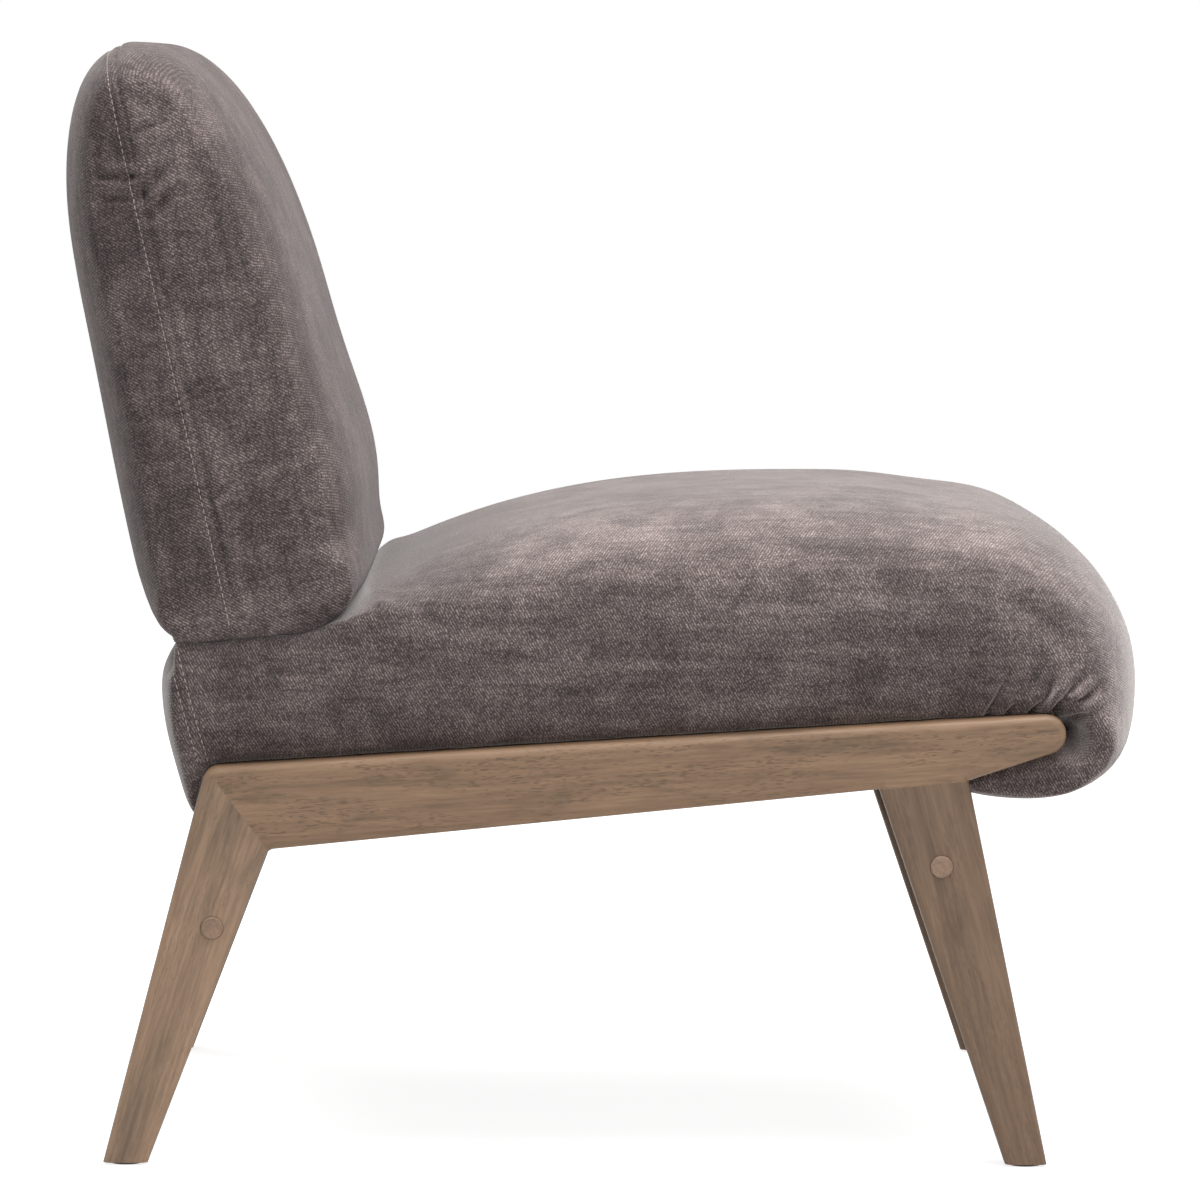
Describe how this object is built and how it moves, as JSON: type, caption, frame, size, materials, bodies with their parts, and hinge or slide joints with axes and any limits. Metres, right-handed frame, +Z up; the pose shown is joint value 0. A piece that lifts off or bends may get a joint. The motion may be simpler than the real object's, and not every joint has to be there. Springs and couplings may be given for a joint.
{
  "type": "accent chair",
  "caption": "Armless accent chair with a rounded padded seat and reclined padded back on splayed wooden side frames, for one person to lounge on.",
  "frame": {"origin": "on the floor, under the middle of the chair's width and depth", "axes": "+Z up, -Y the way the sitter faces, +X to the right of a viewer who faces the chair"},
  "size_m": [0.6236, 0.773, 0.792],
  "materials": {
    "frame_wood": "greyed brown washed wood, satin",
    "cap_wood": "slightly pinker end-grain wood, satin",
    "dowel_wood": "plain beech, unfinished",
    "board_wood": "plain hardwood board, unfinished",
    "steel": "zinc plated",
    "glide_plastic": "dark nylon",
    "webbing": "woven elastic strap",
    "dust_cloth": "thin black non-woven cloth",
    "foam": "upholstery foam",
    "cover_fabric": "taupe grey chenille twill with a crushed sheen, over wadding"
  },
  "bodies": {
    "root": {"side_rail_left": "frame_wood", "side_rail_right": "frame_wood", "front_leg_left": "frame_wood", "front_leg_right": "frame_wood", "rear_leg_left": "frame_wood", "rear_leg_right": "frame_wood", "leg_dowels": "dowel_wood", "front_stretcher": "frame_wood", "rear_stretcher": "frame_wood", "stretcher_dowels": "dowel_wood", "stretcher_bolts": "steel", "bolt_washers": "steel", "barrel_nuts": "steel", "bolt_cover_caps": "cap_wood", "foot_glides": "glide_plastic", "glide_nails": "steel", "seat_front_board": "board_wood", "seat_rear_board": "board_wood", "seat_side_board_left": "board_wood", "seat_side_board_right": "board_wood", "seat_corner_blocks": "board_wood", "seat_long_webbing": "webbing", "seat_cross_webbing": "webbing", "seat_dust_cover": "dust_cloth", "seat_bolts": "steel", "seat_bolt_washers": "steel", "rail_inserts": "steel", "seat_foam": "foam", "seat_cover": "cover_fabric", "seat_cover_rear": "cover_fabric", "back_post_left": "board_wood", "back_post_right": "board_wood", "back_top_rail": "board_wood", "back_bottom_rail": "board_wood", "back_dowels": "dowel_wood", "back_webbing": "webbing", "post_screws": "steel", "back_foam_front": "foam", "back_foam_rear": "foam", "back_cover_front": "cover_fabric", "back_cover_rear": "cover_fabric"}
  },
  "joints": []
}
